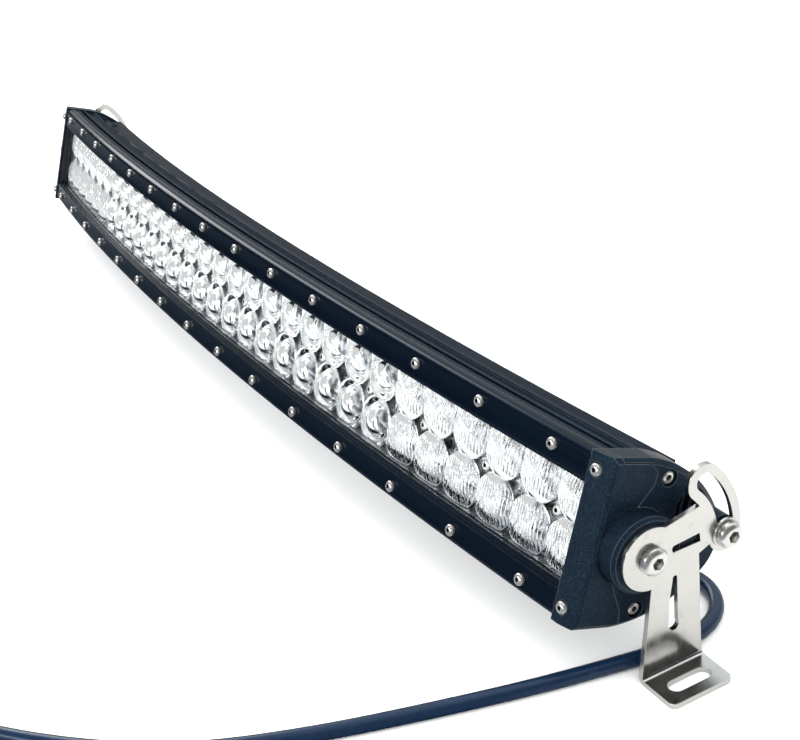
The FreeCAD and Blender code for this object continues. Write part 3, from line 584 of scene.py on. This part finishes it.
def web(sheets, half_x):
    """Flat web between the cups, with a rolled bead along the joint to the next module."""
    left, right = half_x
    half_z, hole_r, hole_n = 23.2, 1.75, 24
    sunk = 0.25               # how far the edge of the screw hole is rolled in
    square = []
    for a in np.arange(hole_n) * (2 * math.pi / hole_n):
        c, s = math.cos(a), math.sin(a)
        reach = min((right if c > 0 else left) / max(abs(c), 1e-6), half_z / max(abs(s), 1e-6))
        square.append((c, s, reach))
    rows = []
    for share in (0.0, 0.12, 0.4, 1.0):
        depth = WEB_FRONT + (sunk if share == 0 else 0.0)
        spokes = [(c, s, hole_r + share * (reach - hole_r)) for c, s, reach in square]
        rows.append(np.array([(c * r, depth, s * r) for c, s, r in spokes]))
    sheets.grid(rows, WEB_FACE)
    edge = [np.array([(c * reach, d, s * reach) for c, s, reach in square]) for d in (WEB_FRONT, WEB_BACK)]
    sheets.grid(edge, WEB_FACE, smooth=False)
    bead_in, bead_wide, bead_proud, bead_half = 0.75, 0.7, 1.1, 9.5
    for side, limit in ((-1, left), (1, right)):
        bead = []
        for a in np.linspace(0, math.pi, 7):
            at = side * (limit - bead_in) + bead_wide * math.cos(a)
            depth = WEB_FRONT - bead_proud * math.sin(a)
            bead.append(np.array([(at, depth, z) for z in np.linspace(-bead_half, bead_half, 9)]))
        sheets.grid(bead, CLEAR_FACE, closed=False)


def skirt(sheets, half_x):
    """Upright skirt above and below the cups, scalloped at its front edge, against the channel's walls."""
    left, right = half_x
    front, scallop, half_z, draft, count = 9.75, 0.5, 23.3, 0.25, 61
    along = np.linspace(-left, right, count)
    for sign in (-1, 1):
        rows = []
        for share in np.linspace(0, 1, 5):
            lift = scallop * np.abs(np.cos(math.pi * along / (2 * CUP_OFF)))
            depth = (front + lift) * (1 - share) + WEB_BACK * share
            rows.append(np.stack([along, depth, np.full(count, sign * (half_z - draft * share))], axis=1))
        sheets.grid(rows, SKIRT_FACE, closed=False)


def optic(number):
    """One module of four cups. The modules are numbered from the left, and the two end ones are cut short."""
    s = (number - (MODULES + 1) / 2) * PITCH
    end_half = HOUSING_END - (MODULES - 1) / 2 * PITCH - END_GAP
    half_x = (end_half if number == 1 else HALF_MODULE, end_half if number == MODULES else HALF_MODULE)
    fluted = number in FLUTED
    sheets = Sheets()
    for i, x in enumerate((-CUP_OFF, CUP_OFF)):
        for k, z in enumerate((-CUP_OFF, CUP_OFF)):
            phase = 0.9 * i + 1.7 * k + 0.6 * number     # keeps neighbouring cups' ribs from matching
            cup(sheets, x, z, fluted, half_x, phase)
    web(sheets, half_x)
    skirt(sheets, half_x)
    looks = [FLUTE, SOFT_WALL, WEB, SKIRT] if fluted else [BULB, WALL, WEB, SKIRT]
    made = sheets.piece(f"optic_lens_{number:02d}", bar_matrix(s), looks)
    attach(made, "lamp")
    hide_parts(f"optic_module_{number:02d}")


for module in range(1, MODULES + 1):
    optic(module)

# ---------------------------------------------------------------- lens rails
# The top rail's section, as (depth, height). Its hollow and its round are parabolas through three points.
RAIL_STEPS = [(5.95, 22.4), (4.6, 22.4), (4.6, 23.5), (3.3, 23.5), (3.3, 24.6)]
RAIL_HOLLOW = ((2.0, 24.6), (2.35, 29.6), (2.0, 34.6))
RAIL_ROUND = ((2.0, 34.6), (3.9, 37.3), (8.2, 38.0))
RAIL_BACK = [(8.2, 36.6), (9.35, 36.6), (9.35, 26.2), (5.95, 26.2)]
RAIL_STATIONS = 241
RAIL_CREASE = math.radians(12)     # edges that turn more than this stay sharp


def curve_through(first, middle, last, count):
    """Points on the parabola through three points, without its last."""
    t = np.linspace(0.0, 1.0, count, endpoint=False)[:, None]
    a, b, c = (np.array(p) for p in (first, middle, last))
    return a * (1 - t) * (1 - 2 * t) + 4 * b * t * (1 - t) + c * t * (2 * t - 1)


def lens_rail(name, node, sign):
    """The rail swept again in even steps, so that its gloss runs smoothly along the bar."""
    section = np.array(RAIL_STEPS + [tuple(p) for p in curve_through(*RAIL_HOLLOW, 8)]
                       + [tuple(p) for p in curve_through(*RAIL_ROUND, 14)] + [RAIL_ROUND[-1]] + RAIL_BACK)
    depth, height = section[:, 0], section[:, 1]
    end = np.arcsin(RAIL_END / (ARC_R - depth))
    rows = []
    for share in np.linspace(-1.0, 1.0, RAIL_STATIONS)[::sign]:
        turn = end * share
        rows.append(np.stack([(ARC_R - depth) * np.sin(turn), ARC_R - (ARC_R - depth) * np.cos(turn),
                              sign * height], axis=1))
    sheets = Sheets()
    sheets.grid(rows, 0)
    count = len(section)
    last = len(sheets.points) - count
    sheets.faces += [tuple(range(count)), tuple(last + i for i in reversed(range(count)))]
    sheets.looks += [0, 0]
    sheets.soft += [False, False]
    made = sheets.piece(name, bar_matrix(), [MATERIALS["rail_black"]])
    made.data.set_sharp_from_angle(angle=RAIL_CREASE)
    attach(made, "lamp")
    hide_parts(node)


lens_rail("rail_top", "top_lens_rail", 1)
lens_rail("rail_bottom", "bottom_lens_rail", -1)

# ---------------------------------------------------------------- supply lead
CORD_D = 0.007
ROUTE = [                 # out of the gland, down to the floor, round the near end and away to the left
    (0.2464, 0.0082, 0.0587), (0.2439, 0.0362, 0.0482), (0.2484, 0.0497, 0.0328),
    (0.2579, 0.0529, 0.0143), (0.2757, 0.0547, 0.0035), (0.2990, 0.0531, 0.0035),
    (0.3230, 0.0536, 0.0035), (0.3445, 0.0586, 0.0035), (0.3630, 0.0611, 0.0035),
    (0.3789, 0.0526, 0.0035), (0.3873, 0.0368, 0.0035), (0.3870, 0.0156, 0.0035),
    (0.3825, -0.0064, 0.0035), (0.3745, -0.0394, 0.0035), (0.3610, -0.0834, 0.0035),
    (0.3440, -0.1324, 0.0035), (0.3220, -0.1794, 0.0035), (0.2910, -0.2174, 0.0035),
    (0.2500, -0.2534, 0.0035), (0.2080, -0.2824, 0.0035),
]


def cord_curve(name, bevel):
    """The lead's route as a smooth curve, with a round section of radius bevel, or bare where it is 0."""
    curve = bpy.data.curves.new(name, "CURVE")
    curve.dimensions = "3D"
    spline = curve.splines.new("NURBS")
    spline.points.add(len(ROUTE) - 1)
    for point, place in zip(spline.points, ROUTE):
        point.co = (*place, 1.0)
    spline.order_u = 3
    spline.use_endpoint_u = True
    curve.resolution_u = 16
    curve.bevel_depth = bevel
    curve.bevel_resolution = 8
    curve.use_fill_caps = bevel > 0
    made = bpy.data.objects.new(name, curve)
    bpy.context.scene.collection.objects.link(made)
    return made


def centre_line():
    """The lead's line, read from its own spline with no bevel."""
    bare = cord_curve("lead_line", 0.0)
    bpy.context.view_layer.update()
    mesh = bpy.data.meshes.new_from_object(bare.evaluated_get(bpy.context.evaluated_depsgraph_get()))
    line = np.array([v.co for v in mesh.vertices], float)
    bpy.data.objects.remove(bare)
    bpy.data.meshes.remove(mesh)
    return line


def sleeve(name, line, start, end, profile, material):
    """A sleeve round the lead, from one length along it to another; profile is (share of the way, radius)."""
    steps = np.concatenate([[0.0], np.cumsum(np.linalg.norm(np.diff(line, axis=0), axis=1))])
    rows, count = [], 40
    nudge = 0.0004            # how far ahead the line's direction is read
    angle = np.arange(count)[:, None] * (2 * math.pi / count)
    for share, radius in profile:
        at = start + share * (end - start)
        here = np.array([np.interp(at, steps, line[:, k]) for k in range(3)])
        near = np.array([np.interp(at + nudge, steps, line[:, k]) for k in range(3)])
        ahead = Vector(near - here).normalized()
        side = ahead.cross(Vector((0, 0, 1))).normalized()
        up = side.cross(ahead)
        rows.append(here + radius * (np.cos(angle) * np.array(side) + np.sin(angle) * np.array(up)))
    sheets = Sheets()
    sheets.grid(rows, 0)
    return sheets.piece(name, Matrix.Identity(4), [material])


lead = cord_curve("supply_lead", CORD_D / 2)
lead.data.materials.append(MATERIALS["cord_jacket"])
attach(lead, "lamp")
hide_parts("supply_cord")

RELIEF_START, RELIEF_END = 0.0200, 0.0420      # along the lead, from where it leaves the housing
RELIEF = [(0.0, 0.00365), (0.0, 0.0052), (0.08, 0.0054), (0.16, 0.0054)]
for rib in range(6):
    base, thick = 0.2 + rib * 0.12, 0.0053 - rib * 0.00022
    RELIEF += [(base, thick), (base + 0.01, thick - 0.0006),
               (base + 0.05, thick - 0.0006), (base + 0.06, thick - 0.0001)]
RELIEF += [(0.95, 0.0040), (1.0, 0.0038), (1.0, 0.00355)]
relief = sleeve("lead_strain_relief", centre_line(), RELIEF_START, RELIEF_END, RELIEF,
                MATERIALS["gland_black"])
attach(relief, "lamp")

# ---------------------------------------------------------------- floor, light, camera
CARD_FULL_Y, CARD_END_Y = -0.07, -0.01   # where the floor's dark card starts to fade, and where it ends
DARK_CARD = Vector((0.81, 0.38, 0.44)).normalized()   # where the room's dark card stands, seen from the lamp


def floor():
    """Pale floor. It bounces less light than it shows, and gloss meets a dark card in front of the lamp."""
    m = Shade("floor_pale")
    cloud = m.noise(1.3, 3.0)
    pale = m.blend(cloud, (0.86, 0.865, 0.87), (0.90, 0.90, 0.90))
    side = m.node("SeparateXYZ")
    m.join(m.place(), side.inputs[0])
    path = m.node("LightPath")
    mirrored = m.math("GREATER_THAN", path.outputs["Is Glossy Ray"], path.outputs["Is Transmission Ray"])
    card = m.math("MULTIPLY", m.span(side.outputs["Y"], CARD_FULL_Y, CARD_END_Y, 1.0, 0.0), mirrored)
    bounced, card_tone = (0.50, 0.50, 0.50), (0.03, 0.05, 0.075)
    dimmed = m.blend(path.outputs["Is Camera Ray"], bounced, pale)
    m.colour(m.blend(card, dimmed, card_tone))
    m.rough(m.over(cloud, 0.55, 0.7))
    m.put(Specular_IOR_Level=0.25)
    reach = 7.0
    line = np.linspace(-reach, reach, 9)
    sheets = Sheets()
    sheets.grid([np.array([(x, y, 0.0) for x in line]) for y in line], 0, closed=False)
    made = sheets.piece("floor", Matrix.Identity(4), [m.material])


def lamp(name, place, target, size, power, tint=(1.0, 1.0, 1.0)):
    """A soft box aimed at the target, with its width and height in metres and its power in watts."""
    light = bpy.data.lights.new(name, "AREA")
    light.shape, light.size, light.size_y = "RECTANGLE", size[0], size[1]
    light.energy, light.color = power, tint
    made = bpy.data.objects.new(name, light)
    made.location = place
    made.rotation_euler = (Vector(target) - Vector(place)).to_track_quat("-Z", "Y").to_euler()
    bpy.context.scene.collection.objects.link(made)


class Room:
    """The world's node tree, with the same short ways to add and join nodes as Shade."""

    node, join, math, span = Shade.node, Shade.join, Shade.math, Shade.span

    def __init__(self):
        world = bpy.data.worlds.new("studio")
        bpy.context.scene.world = world
        world.use_nodes = True
        self.tree = world.node_tree

    def background(self, level, tint):
        made = self.node("Background")
        made.inputs["Color"].default_value = (*tint, 1.0)
        if isinstance(level, float):
            made.inputs["Strength"].default_value = level
        else:
            self.join(level, made.inputs["Strength"])
        return made.outputs[0]

    def choose(self, factor, first, second):
        made = self.node("MixShader")
        for socket, value in zip(made.inputs, (factor, first, second)):
            self.join(value, socket)
        return made.outputs[0]


def studio():
    """Soft boxes over a pale floor. Gloss mirrors a dimmer room, darker in front, with one dark card."""
    room = Room()
    facing = room.node("TexCoord").outputs["Generated"]
    part = room.node("SeparateXYZ")
    room.join(facing, part.inputs[0])
    height = room.span(part.outputs["Z"], 0.05, 0.75, 0.35, 1.0)
    behind = room.span(part.outputs["Y"], -0.15, 0.5, 0.10, 1.1)
    card = room.node("VectorMath", operation="DOT_PRODUCT")
    card.inputs[1].default_value = DARK_CARD
    room.join(facing, card.inputs[0])
    shade = room.span(card.outputs["Value"], 0.76, 0.93, 1.0, 0.03)
    level = room.math("MULTIPLY", room.math("MULTIPLY", height, behind), shade)
    mirrored = room.background(level, (0.90, 0.96, 1.0))
    refracted = room.background(0.68, (1.0, 0.995, 0.985))
    ambient = room.background(2.2, (0.99, 1.0, 1.0))
    backdrop = room.background(1.1, (1.0, 1.0, 1.0))
    path = room.node("LightPath")
    seen = room.choose(path.outputs["Is Transmission Ray"], mirrored, refracted)
    seen = room.choose(path.outputs["Is Diffuse Ray"], seen, ambient)
    seen = room.choose(path.outputs["Is Camera Ray"], seen, backdrop)
    room.join(seen, room.tree.nodes["World Output"].inputs["Surface"])
    lamp("overhead", place=(0.0, 0.1, 2.0), target=(0.0, 0.0, 0.0), size=(3.0, 2.2), power=10.0)
    lamp("left_end", place=(-1.9, 0.0, 1.35), target=(0.0, 0.0, 0.05), size=(0.9, 1.6), power=18.0,
         tint=(1.0, 0.99, 0.97))
    lamp("front_low", place=(0.3, -2.2, 0.9), target=(0.1, 0.0, 0.05), size=(2.6, 0.6), power=26.0)


def camera():
    """Close to the right end, a little above the bar, looking along it to the far end."""
    data = bpy.data.cameras.new("photo_view")
    data.sensor_width, data.lens = 36.0, 63.58
    data.clip_start, data.clip_end = 0.02, 60.0
    made = bpy.data.objects.new("photo_view", data)
    right, down, ahead = (0.4761, 0.8712, -0.1202), (0.3350, -0.3060, -0.8911), (-0.8131, 0.3840, -0.4376)
    turn = Matrix((right, [-v for v in down], [-v for v in ahead])).transposed()
    made.matrix_world = Matrix.Translation((0.7865, -0.2797, 0.3902)) @ turn.to_4x4()
    bpy.context.scene.collection.objects.link(made)
    bpy.context.scene.camera = made


floor()
studio()
camera()
bpy.context.scene.view_settings.view_transform = "Standard"
